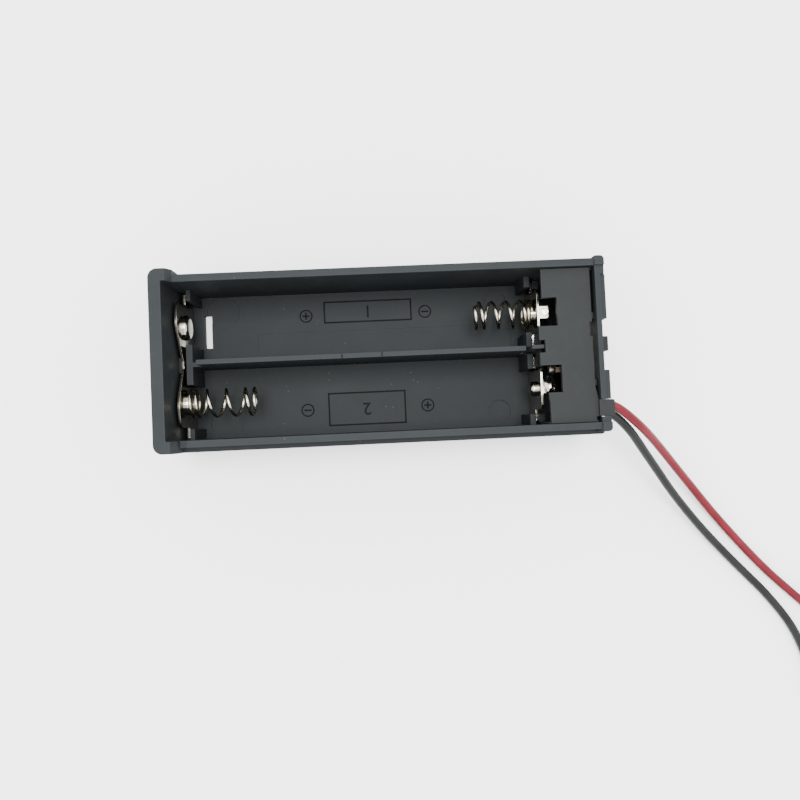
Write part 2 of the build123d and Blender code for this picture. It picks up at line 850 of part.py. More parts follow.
# The route of each lead, from its joint in solder to its coil. Points are chosen by hand.
notch_red = wire_notch_middle + wire_spacing / 2
notch_black = wire_notch_middle - wire_spacing / 2
bead_x = pin_tip - pin_solder_cap + pin_solder_length / 2
bead_foot = switch_axis_height - pin_solder_radius + bead_overlap
bead_top = switch_axis_height + pin_solder_radius - bead_overlap
red_route = [
    (bead_x, pin_y(1), bead_top),
    (26.3, -1.4, 10.75),
    (27.1, -3.0, 12.0),
    (27.2, -5.4, 12.1),
    (27.75, -7.2, 12.08),
    (29.2, -8.45, 12.03),
    (31.0, notch_red, wire_height),
    (33.0, notch_red - 0.05, wire_height),
    (34.3, -9.35, 11.95),
    (36.4, -11.0, 11.3),
    (38.6, -12.75, 9.9),
    (41.4, -15.1, 7.3),
    (44.7, -18.4, 4.7),
    (48.4, -22.4, 2.5),
    (52.2, -26.9, 1.1),
    (56.2, -31.6, 0.66),
    (60.4, -36.4, 0.65),
    (64.6, -40.4, 0.66),
    mouth(red_coil_x, red_coil_y, red_coil_entry),
]
black_route = [
    (tab_hole_x, negative_tab_y, joint_height),
    (tab_hole_x, negative_tab_y, 7.0),
    (25.8, 3.8, 5.0),
    (26.4, 0.4, 3.2),
    (26.5, -3.6, 3.4),
    (26.9, -7.0, 5.6),
    (28.0, -9.0, 8.4),
    (29.8, notch_black + 0.1, 10.6),
    (32.6, notch_black, wire_height - wire_step),
    (34.0, -10.55, 11.0),
    (35.1, -11.55, 10.75),
    (36.4, -12.9, 10.2),
    (37.6, -14.4, 9.4),
    (39.4, -16.65, 8.05),
    (41.4, -19.1, 6.6),
    (44.0, -22.4, 4.8),
    (46.95, -25.85, 3.2),
    (50.05, -29.35, 1.9),
    (53.4, -32.9, 1.0),
    (56.6, -36.3, 0.66),
    (60.4, -40.3, 0.65),
    (64.6, -46.0, 0.66),
    (67.0, -53.0, 0.65),
    mouth(black_coil_x, black_coil_y, black_coil_entry),
]
jumper_route = [
    (tab_hole_x, -bay_middle, joint_height),
    (tab_hole_x, -bay_middle, joint_height - jumper_drop),
    (tab_hole_x + jumper_knee, -bay_middle + jumper_side, bead_foot - jumper_sag + jumper_rise),
    (bead_x, pin_y(0) - jumper_last, bead_foot - jumper_sag),
    (bead_x, pin_y(0), bead_foot),
]


def build():
    """Writes one file for each piece."""
    pieces = {
        "housing": housing(),
        "switch_cover": switch_cover(),
        "link_contact": link_contact(),
        "link_spring": link_spring(),
        "negative_contact": negative_contact(),
        "negative_spring": negative_spring(),
        "positive_contact": positive_contact(),
        "positive_solder": solder_drop(-bay_middle, positive_solder_radius, positive_solder_height),
        "negative_solder": solder_drop(negative_tab_y, negative_solder_radius, negative_solder_height),
        "switch_frame": switch_frame(),
        "switch_base": switch_base(),
        "switch_slider": switch_slider(),
        "switch_wiper": switch_wiper(),
        "switch_solder_jumper": pin_solder(0),
        "switch_solder_red": pin_solder(1),
        "switch_jumper": tube(jumper_route, jumper_diameter, "jumper"),
        "red_lead": tube(red_route, wire_diameter, "red lead"),
        "red_coil": lead_coil(red_coil_x, red_coil_y, red_coil_turns),
        "red_tip": lead_tip(red_coil_x, red_coil_y, red_coil_entry, red_coil_turns),
        "black_lead": tube(black_route, wire_diameter, "black lead"),
        "black_coil": lead_coil(black_coil_x, black_coil_y, black_coil_turns),
        "black_tip": lead_tip(black_coil_x, black_coil_y, black_coil_entry, black_coil_turns),
    }
    for number in range(3):
        pieces["switch_terminal_" + str(number + 1)] = switch_terminal(number)
    os.makedirs("parts", exist_ok=True)
    for name, shape in pieces.items():
        export_step(shape, "parts/" + name + ".step")


build()
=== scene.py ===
"""The looks of an open holder for two small cylindrical cells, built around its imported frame.

The frame brings the moulded housing, the contacts and the switch as solids at their real size. This script gives each
of them its finish, and models what a plain solid can't show: the springs' wire, the leads and their coils, the bare
strands at their ends, the drops of solder and the marks in the bays' floors. Sizes are in millimetres until they reach
Blender, where everything is in metres.
"""

import logging
import math
from dataclasses import dataclass, field
from enum import Enum
from typing import Iterable, Sequence

import bmesh
import bpy
from mathutils import Euler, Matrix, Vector, noise


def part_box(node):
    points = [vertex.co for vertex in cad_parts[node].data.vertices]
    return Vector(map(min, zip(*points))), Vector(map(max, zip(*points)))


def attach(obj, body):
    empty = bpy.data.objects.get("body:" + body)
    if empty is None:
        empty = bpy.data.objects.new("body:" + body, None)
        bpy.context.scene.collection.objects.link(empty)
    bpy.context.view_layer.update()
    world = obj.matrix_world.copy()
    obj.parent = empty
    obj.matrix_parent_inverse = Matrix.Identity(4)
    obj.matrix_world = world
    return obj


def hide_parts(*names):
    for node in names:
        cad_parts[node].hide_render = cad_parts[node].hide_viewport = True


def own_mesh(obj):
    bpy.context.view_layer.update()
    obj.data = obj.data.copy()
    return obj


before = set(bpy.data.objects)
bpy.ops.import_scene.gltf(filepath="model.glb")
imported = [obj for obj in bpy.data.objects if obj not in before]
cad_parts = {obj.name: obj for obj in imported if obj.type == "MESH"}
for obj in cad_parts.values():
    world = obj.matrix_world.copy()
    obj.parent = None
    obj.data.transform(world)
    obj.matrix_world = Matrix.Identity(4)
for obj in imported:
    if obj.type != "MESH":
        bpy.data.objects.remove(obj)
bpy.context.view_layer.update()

Point = tuple[float, float, float]
Colour = tuple[float, float, float]

MM = 0.001
ROOT = "case"

log = logging.getLogger("cell_holder")


class Sign(Enum):
    """The mark beside a cell's outline that says which end goes there."""

    PLUS = "+"
    MINUS = "-"


def metres(point: Iterable[float]) -> Vector:
    """Turns a point in millimetres into one in metres.

    Args:
        point: Three numbers in millimetres.

    Returns:
        The same place in metres.
    """
    return Vector(value * MM for value in point)


def select_only(piece: bpy.types.Object) -> None:
    """Makes one object the active and only selected one.

    Args:
        piece: The object that the next operator acts on.
    """
    bpy.ops.object.select_all(action="DESELECT")
    piece.select_set(True)
    bpy.context.view_layer.objects.active = piece


def settle(piece: bpy.types.Object) -> None:
    """Puts an object's place, turn and scale into its mesh, so that the object stands at the origin.

    Args:
        piece: The mesh object to settle.
    """
    select_only(piece)
    bpy.ops.object.transform_apply(location=True, rotation=True, scale=True)


def as_mesh(piece: bpy.types.Object) -> bpy.types.Object:
    """Turns a curve or a text into a mesh, with its modifiers applied.

    Args:
        piece: The curve or text object.

    Returns:
        The object that now holds the mesh.
    """
    select_only(piece)
    bpy.ops.object.convert(target="MESH")
    return bpy.context.view_layer.objects.active


def joined(name: str, parts: Sequence[bpy.types.Object]) -> bpy.types.Object:
    """Joins several meshes into one piece.

    Args:
        name: The name of the whole.
        parts: The meshes to join.

    Returns:
        The joined object.
    """
    bpy.ops.object.select_all(action="DESELECT")
    for part in parts:
        part.select_set(True)
    whole = parts[0]
    bpy.context.view_layer.objects.active = whole
    if len(parts) > 1:
        bpy.ops.object.join()
    whole.name = name
    whole.data.name = name
    return whole


def outward(piece: bpy.types.Object, merge: float = 0.0001 * MM) -> None:
    """Merges doubled points and turns every face outwards.

    Args:
        piece: The mesh object to clean.
        merge: How near two points lie, in metres, to become one.
    """
    select_only(piece)
    bpy.ops.object.mode_set(mode="EDIT")
    bpy.ops.mesh.select_all(action="SELECT")
    bpy.ops.mesh.remove_doubles(threshold=merge)
    bpy.ops.mesh.normals_make_consistent(inside=False)
    bpy.ops.object.mode_set(mode="OBJECT")


def smooth(piece: bpy.types.Object, angle: float = 40.0) -> None:
    """Shades a mesh smooth, apart from its sharp edges.

    Args:
        piece: The mesh object to shade.
        angle: The sharpest turn, in degrees, that still looks smooth.
    """
    select_only(piece)
    bpy.ops.object.shade_smooth_by_angle(angle=math.radians(angle))


def dress(piece: bpy.types.Object, material: bpy.types.Material) -> None:
    """Gives an object one material in place of what it had.

    Args:
        piece: The mesh or curve object.
        material: Its finish.
    """
    piece.data.materials.clear()
    piece.data.materials.append(material)


class NodeSheet:
    """A node tree, with short ways to add a node, set its sockets and link it."""

    def __init__(self, tree: bpy.types.NodeTree) -> None:
        """Starts on an empty tree.

        Args:
            tree: The material's or the group's node tree.
        """
        self.tree = tree
        self.tree.nodes.clear()
        self.column = 0

    def add(self, kind: str, **settings: object) -> bpy.types.Node:
        """Adds a node.

        Args:
            kind: The node's type, such as ShaderNodeBump.
            **settings: Properties of the node. A name that starts with a capital is a socket's, with _ for a space.

        Returns:
            The new node.
        """
        node = self.tree.nodes.new(kind)
        node.location = (200 * self.column, 0)
        self.column += 1
        for name, value in settings.items():
            if name[0].isupper():
                self.feed(node, name.replace("_", " "), value)
            else:
                setattr(node, name, value)
        return node

    def feed(self, node: bpy.types.Node, name: str, value: object) -> None:
        """Sets a socket to a value, or links another node's socket to it.

        Args:
            node: The node that takes the value.
            name: Its input socket's name.
            value: A number, a colour or an output socket.
        """
        socket = node.inputs[name]
        if isinstance(value, bpy.types.NodeSocket):
            self.tree.links.new(value, socket)
        elif isinstance(value, tuple) and len(value) == 3 and socket.type == "RGBA":
            socket.default_value = (*value, 1.0)
        else:
            socket.default_value = value

    def math(self, operation: str, first: object, second: object = 0.0, clamp: bool = False) -> bpy.types.NodeSocket:
        """Adds a Math node.

        Args:
            operation: Its operation, such as MULTIPLY.
            first: A number or an output socket.
            second: A number or an output socket.
            clamp: Whether the result stays from 0 to 1.

        Returns:
            The node's output.
        """
        node = self.add("ShaderNodeMath", operation=operation, use_clamp=clamp)
        for socket, value in zip(node.inputs, (first, second)):
            if isinstance(value, bpy.types.NodeSocket):
                self.tree.links.new(value, socket)
            else:
                socket.default_value = value
        return node.outputs[0]

    def blend(self, share: object, first: object, second: object) -> bpy.types.NodeSocket:
        """Mixes two colours.

        Args:
            share: How much of the second colour there is.
            first: A colour or an output socket.
            second: A colour or an output socket.

        Returns:
            The mixed colour.
        """
        node = self.add("ShaderNodeMix", data_type="RGBA")
        for identifier, value in (("Factor_Float", share), ("A_Color", first), ("B_Color", second)):
            socket = next(s for s in node.inputs if s.identifier == identifier)
            if isinstance(value, bpy.types.NodeSocket):
                self.tree.links.new(value, socket)
            elif isinstance(value, tuple):
                socket.default_value = (*value, 1.0)
            else:
                socket.default_value = value
        return next(s for s in node.outputs if s.identifier == "Result_Color")

    def remap(self, value: object, low: float, high: float, to_low: float, to_high: float) -> bpy.types.NodeSocket:
        """Maps a range of values onto another and holds the ends.

        Args:
            value: A number or an output socket.
            low: Where the first range starts.
            high: Where the first range ends.
            to_low: What low becomes.
            to_high: What high becomes.

        Returns:
            The mapped value.
        """
        node = self.add("ShaderNodeMapRange", From_Min=low, From_Max=high, To_Min=to_low, To_Max=to_high)
        self.feed(node, "Value", value)
        return node.outputs["Result"]

    def place(self) -> bpy.types.NodeSocket:
        """The point on the surface in the object's own coordinates, in metres."""
        return self.add("ShaderNodeTexCoord").outputs["Object"]

    def texture(self, scale: float, detail: float = 2.0, roughness: float = 0.5, at: object = None) -> bpy.types.NodeSocket:
        """Adds a noise texture.

        Args:
            scale: How many features there are to a metre.
            detail: How many finer layers it has.
            roughness: How strong the finer layers are.
            at: The coordinates, or None for the object's own.

        Returns:
            The noise, from 0 to 1.
        """
        node = self.add("ShaderNodeTexNoise", Scale=scale, Detail=detail, Roughness=roughness)
        self.feed(node, "Vector", self.place() if at is None else at)
        return node.outputs["Fac"]


def new_group(name: str, inputs: dict[str, float], outputs: dict[str, str]) -> tuple[NodeSheet, bpy.types.Node, bpy.types.Node]:
    """Starts a shader node group with named sockets.

    Args:
        name: The group's name.
        inputs: Each input's name and its usual value.
        outputs: Each output's name and its socket type.

    Returns:
        The group's sheet, its input node and its output node.
    """
    tree = bpy.data.node_groups.new(name, "ShaderNodeTree")
    for title, value in inputs.items():
        socket = tree.interface.new_socket(name=title, in_out="INPUT", socket_type="NodeSocketFloat")
        socket.default_value = value
    for title, kind in outputs.items():
        tree.interface.new_socket(name=title, in_out="OUTPUT", socket_type=kind)
    sheet = NodeSheet(tree)
    return sheet, sheet.add("NodeGroupInput"), sheet.add("NodeGroupOutput")


class Effects:
    """The effects that several finishes share, each a node group that is built once."""

    _built: dict[str, bpy.types.NodeTree] = {}

    @classmethod
    def use(cls, sheet: NodeSheet, name: str, **values: float) -> bpy.types.Node:
        """Places an effect in a material with its own values.

        Args:
            sheet: The material's sheet.
            name: The effect's name, which is also the name of the method that builds it.
            **values: The values of its inputs, with _ for a space.

        Returns:
            The group node, whose outputs hold the effect.
        """
        if name not in cls._built:
            cls._built[name] = getattr(cls, name)()
        node = sheet.add("ShaderNodeGroup", node_tree=cls._built[name])
        for title, value in values.items():
            node.inputs[title.replace("_", " ")].default_value = value
        return node

    @staticmethod
    def soft_edges() -> bpy.types.NodeTree:
        """Edges rounded by the mould or by handling.

        Returns:
            A group that gives the rounded normal and a mask of the edges.
        """
        outputs = {"Edge": "NodeSocketFloat", "Normal": "NodeSocketVector"}
        sheet, taken, given = new_group("soft_edges", {"Radius": 0.12 * MM, "Reach": 0.3 * MM}, outputs)
        near = sheet.add("ShaderNodeBevel", samples=4)
        wide = sheet.add("ShaderNodeBevel", samples=4)
        sheet.tree.links.new(taken.outputs["Radius"], near.inputs["Radius"])
        sheet.tree.links.new(taken.outputs["Reach"], wide.inputs["Radius"])
        flat = sheet.add("ShaderNodeNewGeometry").outputs["Normal"]
        along = sheet.add("ShaderNodeVectorMath", operation="DOT_PRODUCT")
        sheet.tree.links.new(wide.outputs["Normal"], along.inputs[0])
        sheet.tree.links.new(flat, along.inputs[1])
        edge = sheet.remap(along.outputs["Value"], 1.0, 0.86, 0.0, 1.0)
        sheet.tree.links.new(edge, given.inputs["Edge"])
        sheet.tree.links.new(near.outputs["Normal"], given.inputs["Normal"])
        return sheet.tree

    @staticmethod
    def mould_grain() -> bpy.types.NodeTree:
        """The fine grain of a moulded surface, and the slow change of its sheen.

        Returns:
            A group that gives the grain's height and the sheen's mask.
        """
        outputs = {"Height": "NodeSocketFloat", "Sheen": "NodeSocketFloat"}
        sheet, taken, given = new_group("mould_grain", {"Grain Scale": 7000.0, "Sheen Scale": 170.0}, outputs)
        grain = sheet.add("ShaderNodeTexNoise", Detail=3.0, Roughness=0.6)
        sheen = sheet.add("ShaderNodeTexNoise", Detail=4.0, Roughness=0.55, Distortion=0.6)
        place = sheet.place()
        sheet.tree.links.new(place, grain.inputs["Vector"])
        sheet.tree.links.new(place, sheen.inputs["Vector"])
        sheet.tree.links.new(taken.outputs["Grain Scale"], grain.inputs["Scale"])
        sheet.tree.links.new(taken.outputs["Sheen Scale"], sheen.inputs["Scale"])
        sheet.tree.links.new(grain.outputs["Fac"], given.inputs["Height"])
        sheet.tree.links.new(sheet.remap(sheen.outputs["Fac"], 0.32, 0.68, 0.0, 1.0), given.inputs["Sheen"])
        return sheet.tree

    @staticmethod
    def dust() -> bpy.types.NodeTree:
        """Specks of dust and a thin film of it on what faces up.

        Returns:
            A group that gives the dust's mask.
        """
        inputs = {"Speck Scale": 900.0, "Speck Size": 0.1, "Film": 0.12}
        sheet, taken, given = new_group("dust", inputs, {"Dust": "NodeSocketFloat"})
        place = sheet.place()
        specks = sheet.add("ShaderNodeTexVoronoi", feature="F1", Randomness=1.0)
        sheet.tree.links.new(place, specks.inputs["Vector"])
        sheet.tree.links.new(taken.outputs["Speck Scale"], specks.inputs["Scale"])
        inside = sheet.math("LESS_THAN", specks.outputs["Distance"], taken.outputs["Speck Size"])
        chosen = sheet.math("GREATER_THAN", sheet.texture(260.0, 1.0, 0.5, place), 0.62)
        speck = sheet.math("MULTIPLY", inside, chosen)
        film = sheet.remap(sheet.texture(420.0, 5.0, 0.7, place), 0.45, 0.75, 0.0, 1.0)
        film = sheet.math("MULTIPLY", film, taken.outputs["Film"])
        normal = sheet.add("ShaderNodeNewGeometry").outputs["Normal"]
        upward = sheet.add("ShaderNodeSeparateXYZ", Vector=normal).outputs["Z"]
        facing = sheet.remap(upward, 0.55, 0.95, 0.0, 1.0)
        dusty = sheet.math("MULTIPLY", sheet.math("MAXIMUM", speck, film), facing, clamp=True)
        sheet.tree.links.new(dusty, given.inputs["Dust"])
        return sheet.tree

    @staticmethod
    def tarnish() -> bpy.types.NodeTree:
        """The cloudy change of a plated surface, and the fine lines left by rolling or drawing.

        Returns:
            A group that gives the cloud's mask and the lines' height.
        """
        outputs = {"Cloud": "NodeSocketFloat", "Lines": "NodeSocketFloat"}
        sheet, taken, given = new_group("tarnish", {"Cloud Scale": 700.0, "Line Scale": 9000.0}, outputs)
        place = sheet.place()
        cloud = sheet.add("ShaderNodeTexNoise", Detail=5.0, Roughness=0.62)
        sheet.tree.links.new(place, cloud.inputs["Vector"])
        sheet.tree.links.new(taken.outputs["Cloud Scale"], cloud.inputs["Scale"])
        drawn = sheet.add("ShaderNodeMapping", Scale=(1.0, 0.06, 1.0))
        sheet.tree.links.new(place, drawn.inputs["Vector"])
        lines = sheet.add("ShaderNodeTexNoise", Detail=2.0, Roughness=0.5)
        sheet.tree.links.new(drawn.outputs["Vector"], lines.inputs["Vector"])
        sheet.tree.links.new(taken.outputs["Line Scale"], lines.inputs["Scale"])
        sheet.tree.links.new(sheet.remap(cloud.outputs["Fac"], 0.4, 0.7, 0.0, 1.0), given.inputs["Cloud"])
        sheet.tree.links.new(lines.outputs["Fac"], given.inputs["Lines"])
        return sheet.tree


def new_material(name: str) -> NodeSheet:
    """Starts a material.

    Args:
        name: The finish's name.

    Returns:
        The sheet of its node tree.
    """
    material = bpy.data.materials.new(name)
    material.use_nodes = True
    return NodeSheet(material.node_tree)


def finished(sheet: NodeSheet, **sockets: object) -> bpy.types.Material:
    """Ends a material with its Principled BSDF.

    Args:
        sheet: The material's sheet.
        **sockets: The shader's sockets, with _ for a space.

    Returns:
        The material.
    """
    shader = sheet.add("ShaderNodeBsdfPrincipled", **sockets)
    surface = sheet.add("ShaderNodeOutputMaterial")
    sheet.tree.links.new(shader.outputs["BSDF"], surface.inputs["Surface"])
    return next(m for m in bpy.data.materials if m.node_tree == sheet.tree)


@dataclass(frozen=True)
class MouldedPlastic:
    """Dark moulded plastic with soft edges, paler edges that are partly wear and partly a painted highlight, fine
    grain, uneven sheen and a little dust.
    """

    name: str
    colour: Colour
    pale: Colour
    # Paler colour painted on the edges: partly wear, partly a painted highlight where rounded edges catch the light.
    edge_wear_and_highlight: Colour = (0.028, 0.0295, 0.031)
    dusty: Colour = (0.045, 0.046, 0.045)
    roughness: float = 0.58
    roughness_spread: float = 0.1
    specular: float = 0.11
    grain_depth: float = 0.012
    dust_film: float = 0.06
    edge_wear_and_highlight_share: float = 0.35

    def build(self) -> bpy.types.Material:
        """Builds the material.

        Returns:
            The finished material.
        """
        sheet = new_material(self.name)
        edges = Effects.use(sheet, "soft_edges")
        grain = Effects.use(sheet, "mould_grain")
        dust = Effects.use(sheet, "dust", Film=self.dust_film).outputs["Dust"]
        sheen = grain.outputs["Sheen"]
        colour = sheet.blend(sheen, self.colour, self.pale)
        # Paler edges: partly wear, partly a painted highlight standing in for the light that rounded edges catch.
        edge_wear_and_highlight = sheet.math("MULTIPLY", edges.outputs["Edge"], self.edge_wear_and_highlight_share)
        colour = sheet.blend(edge_wear_and_highlight, colour, self.edge_wear_and_highlight)
        colour = sheet.blend(dust, colour, self.dusty)
        low = self.roughness - self.roughness_spread / 2
        rough = sheet.remap(sheen, 0.0, 1.0, low, low + self.roughness_spread)
        rough = sheet.math("ADD", rough, sheet.math("MULTIPLY", dust, 0.3), clamp=True)
        bump = sheet.add("ShaderNodeBump", Strength=0.5, Distance=self.grain_depth * MM)
        sheet.feed(bump, "Height", grain.outputs["Height"])
        sheet.feed(bump, "Normal", edges.outputs["Normal"])
        return finished(
            sheet,
            Base_Color=colour,
            Roughness=rough,
            Normal=bump.outputs["Normal"],
            IOR=1.5,
            Specular_IOR_Level=self.specular,
        )


@dataclass(frozen=True)
class PlatedMetal:
    """Sheet or wire with a thin bright plating that has clouded a little."""

    name: str
    colour: Colour
    clouded: Colour
    roughness: float = 0.2
    roughness_spread: float = 0.16
    line_depth: float = 0.004
    cloud_scale: float = 700.0

    def build(self) -> bpy.types.Material:
        """Builds the material.

        Returns:
            The finished material.
        """
        sheet = new_material(self.name)
        tarnish = Effects.use(sheet, "tarnish", Cloud_Scale=self.cloud_scale)
        edges = Effects.use(sheet, "soft_edges", Radius=0.05 * MM, Reach=0.12 * MM)
        cloud = tarnish.outputs["Cloud"]
        colour = sheet.blend(cloud, self.colour, self.clouded)
        rough = sheet.remap(cloud, 0.0, 1.0, self.roughness, self.roughness + self.roughness_spread)
        bump = sheet.add("ShaderNodeBump", Strength=0.4, Distance=self.line_depth * MM)
        sheet.feed(bump, "Height", tarnish.outputs["Lines"])
        sheet.feed(bump, "Normal", edges.outputs["Normal"])
        return finished(sheet, Base_Color=colour, Roughness=rough, Metallic=1.0, Normal=bump.outputs["Normal"])


@dataclass(frozen=True)
class Solder:
    """Bright solder with a rippled skin and a few dull patches of flux."""

    name: str
    colour: Colour = (0.62, 0.61, 0.575)
    flux: Colour = (0.42, 0.36, 0.24)
    roughness: float = 0.1

    def build(self) -> bpy.types.Material:
        """Builds the material.

        Returns:
            The finished material.
        """
        sheet = new_material(self.name)
        patches = sheet.remap(sheet.texture(1400.0, 4.0, 0.6), 0.56, 0.7, 0.0, 1.0)
        colour = sheet.blend(patches, self.colour, self.flux)
        rough = sheet.remap(patches, 0.0, 1.0, self.roughness, self.roughness + 0.3)
        ripples = sheet.texture(2600.0, 3.0, 0.55)
        bump = sheet.add("ShaderNodeBump", Strength=0.5, Distance=0.05 * MM)
        sheet.feed(bump, "Height", ripples)
        return finished(sheet, Base_Color=colour, Roughness=rough, Metallic=1.0, Normal=bump.outputs["Normal"])


@dataclass(frozen=True)
class Insulation:
    """Soft vinyl round a wire, with a satin skin that is a little uneven."""

    name: str
    colour: Colour
    pale: Colour
    roughness: float = 0.36

    def build(self) -> bpy.types.Material:
        """Builds the material.

        Returns:
            The finished material.
        """
        sheet = new_material(self.name)
        drift = sheet.remap(sheet.texture(240.0, 3.0, 0.6), 0.35, 0.65, 0.0, 1.0)
        film = sheet.remap(sheet.texture(1500.0, 4.0, 0.7), 0.5, 0.8, 0.0, 0.35)
        colour = sheet.blend(drift, self.colour, self.pale)
        colour = sheet.blend(film, colour, self.pale)
        rough = sheet.remap(sheet.texture(900.0, 3.0, 0.6), 0.3, 0.7, self.roughness - 0.07, self.roughness + 0.12)
        bump = sheet.add("ShaderNodeBump", Strength=0.35, Distance=0.02 * MM)
        sheet.feed(bump, "Height", sheet.texture(3200.0, 3.0, 0.6))
        return finished(
            sheet, Base_Color=colour, Roughness=rough, Normal=bump.outputs["Normal"], IOR=1.53, Specular_IOR_Level=0.18
        )


@dataclass(frozen=True)
class PhenolicBoard:
    """The switch's pressed board, dark brown and mottled."""

    name: str
    colour: Colour = (0.012, 0.0095, 0.0075)
    pale: Colour = (0.022, 0.0175, 0.014)

    def build(self) -> bpy.types.Material:
        """Builds the material.

        Returns:
            The finished material.
        """
        sheet = new_material(self.name)
        edges = Effects.use(sheet, "soft_edges", Radius=0.04 * MM, Reach=0.1 * MM)
        mottle = sheet.remap(sheet.texture(2400.0, 4.0, 0.7), 0.35, 0.7, 0.0, 1.0)
        colour = sheet.blend(mottle, self.colour, self.pale)
        colour = sheet.blend(sheet.math("MULTIPLY", edges.outputs["Edge"], 0.3), colour, self.pale)
        rough = sheet.remap(mottle, 0.0, 1.0, 0.38, 0.55)
        return finished(sheet, Base_Color=colour, Roughness=rough, Normal=edges.outputs["Normal"])


@dataclass(frozen=True)
class Finishes:
    """Every material of the holder, built once."""

    housing: bpy.types.Material
    cover: bpy.types.Material
    knob: bpy.types.Material
    marks: bpy.types.Material
    sheet: bpy.types.Material
    wire: bpy.types.Material
    solder: bpy.types.Material
    joint: bpy.types.Material
    steel: bpy.types.Material
    board: bpy.types.Material
    brass: bpy.types.Material
    red: bpy.types.Material
    black: bpy.types.Material
    copper: bpy.types.Material

    @classmethod
    def build(cls) -> "Finishes":
        """Builds all the materials.

        Returns:
            The set of them.
        """
        nickel = (0.45, 0.43, 0.365)
        return cls(
            housing=MouldedPlastic("housing_plastic", (0.0104, 0.0127, 0.0137), (0.0146, 0.0172, 0.0183)).build(),
            cover=MouldedPlastic("cover_plastic", (0.0092, 0.0105, 0.0108), (0.0126, 0.0141, 0.0144)).build(),
            knob=MouldedPlastic("knob_plastic", (0.0086, 0.0096, 0.0102), (0.012, 0.0133, 0.0139)).build(),
            # The marks are the housing's own plastic; their much darker colour is painted shade, standing in for the
            # shadow that the raised lines catch.
            marks=MouldedPlastic(
                "mark_plastic", (0.0026, 0.003, 0.0034), (0.004, 0.0045, 0.005), specular=0.05, edge_wear_and_highlight_share=0.0
            ).build(),
            sheet=PlatedMetal("nickel_sheet", nickel, (0.36, 0.34, 0.29), roughness=0.1, line_depth=0.002).build(),
            wire=PlatedMetal("nickel_wire", nickel, (0.36, 0.32, 0.24), roughness=0.14, cloud_scale=1100.0).build(),
            solder=Solder("bright_solder").build(),
            joint=Solder("fluxed_solder", (0.2, 0.185, 0.16), (0.07, 0.055, 0.035), 0.38).build(),
            steel=PlatedMetal("switch_steel", (0.55, 0.55, 0.53), (0.33, 0.32, 0.3), roughness=0.3).build(),
            board=PhenolicBoard("switch_board").build(),
            brass=PlatedMetal("tinned_brass", (0.34, 0.31, 0.25), (0.2, 0.16, 0.1), roughness=0.34).build(),
            red=Insulation("red_insulation", (0.083, 0.0028, 0.0066), (0.112, 0.006, 0.012)).build(),
            black=Insulation("black_insulation", (0.0042, 0.0048, 0.0046), (0.0072, 0.0082, 0.0078)).build(),
            copper=PlatedMetal("tinned_strands", (0.76, 0.73, 0.68), (0.5, 0.42, 0.32), roughness=0.22).build(),
        )


@dataclass
class MouldedParts:
    """The moulded parts and the pressed ones that the frame holds in their true shape."""

    finishes: Finishes
    looks: dict[str, str] = field(
        default_factory=lambda: {
            "housing": "housing",
            "switch_cover": "cover",
            "switch_slider": "knob",
            "link_contact": "sheet",
            "negative_contact": "sheet",
            "positive_contact": "sheet",
            "negative_solder": "solder",
            "switch_frame": "steel",
            "switch_base": "board",
            "switch_terminal_1": "brass",
            "switch_terminal_2": "brass",
            "switch_terminal_3": "brass",
            "switch_wiper": "brass",
            "switch_solder_jumper": "joint",
            "switch_solder_red": "joint",
            "switch_jumper": "black",
        }
    )

    def build(self) -> None:
        """Gives each of these solids its finish."""
        for node, finish in self.looks.items():
            dress(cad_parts[node], getattr(self.finishes, finish))
            log.info("%s wears %s", node, finish)


@dataclass
class CoilSpring:
    """A right-handed spring of plated wire: turns at its base, open turns, and a closer turn at its free end."""

    node: str
    joint: str
    y: float
    z: float
    fixed_x: float
    toward: int
    length: float
    base_pitch: float
    base_turns: float
    free_turns: float
    travel: float
    material: bpy.types.Material
    outer: float = 4.5
    wire: float = 0.5
    tip_turns: float = 1.1
    tip_pitch: float = 0.95
    points_per_turn: int = 24

    def rise(self, turn: float) -> float:
        """How far the wire has climbed.

        Args:
            turn: How many turns it has made from its base.

        Returns:
            The climb in millimetres.
        """
        room = self.length - self.wire - self.base_pitch * self.base_turns - self.tip_pitch * self.tip_turns
        pitch = room / self.free_turns
        climbed = self.base_pitch * min(turn, self.base_turns)
        climbed += pitch * min(max(turn - self.base_turns, 0.0), self.free_turns)
        return climbed + self.tip_pitch * max(turn - self.base_turns - self.free_turns, 0.0)

    def soft_rise(self, turn: float) -> float:
        """The climb, with its changes of pitch rounded off over a quarter of a turn."""
        near = [self.rise(turn + step / 24) for step in range(-3, 4)]
        return sum(near) / len(near)

    def build(self) -> bpy.types.Object:
        """Winds the wire and makes it a mesh.

        Returns:
            The spring.
        """
        turns = self.base_turns + self.free_turns + self.tip_turns
        count = round(turns * self.points_per_turn)
        radius = (self.outer - self.wire) / 2
        bpy.ops.object.select_all(action="DESELECT")
        bpy.ops.curve.primitive_nurbs_path_add(location=(0, 0, 0))
        piece = bpy.context.view_layer.objects.active
        curve = piece.data
        curve.splines.clear()
        line = curve.splines.new("POLY")
        line.points.add(count)
        for number, point in enumerate(line.points):
            turn = turns * number / count
            angle = 2 * math.pi * turn
            x = self.fixed_x + self.toward * (self.soft_rise(turn) + self.wire / 2)
            y = self.y + radius * math.sin(angle)
            z = self.z - self.toward * radius * math.cos(angle)
            point.co = (*metres((x, y, z)), 1.0)
        curve.bevel_depth = self.wire / 2 * MM
        curve.bevel_resolution = 4
        curve.use_fill_caps = True
        piece.name = self.node + "_wire"
        piece = as_mesh(piece)
        outward(piece)
        smooth(piece)
        dress(piece, self.material)
        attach(piece, ROOT)
        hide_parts(self.node)
        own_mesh(piece)
        log.info("%s: %.1f turns", piece.name, turns)
        return piece


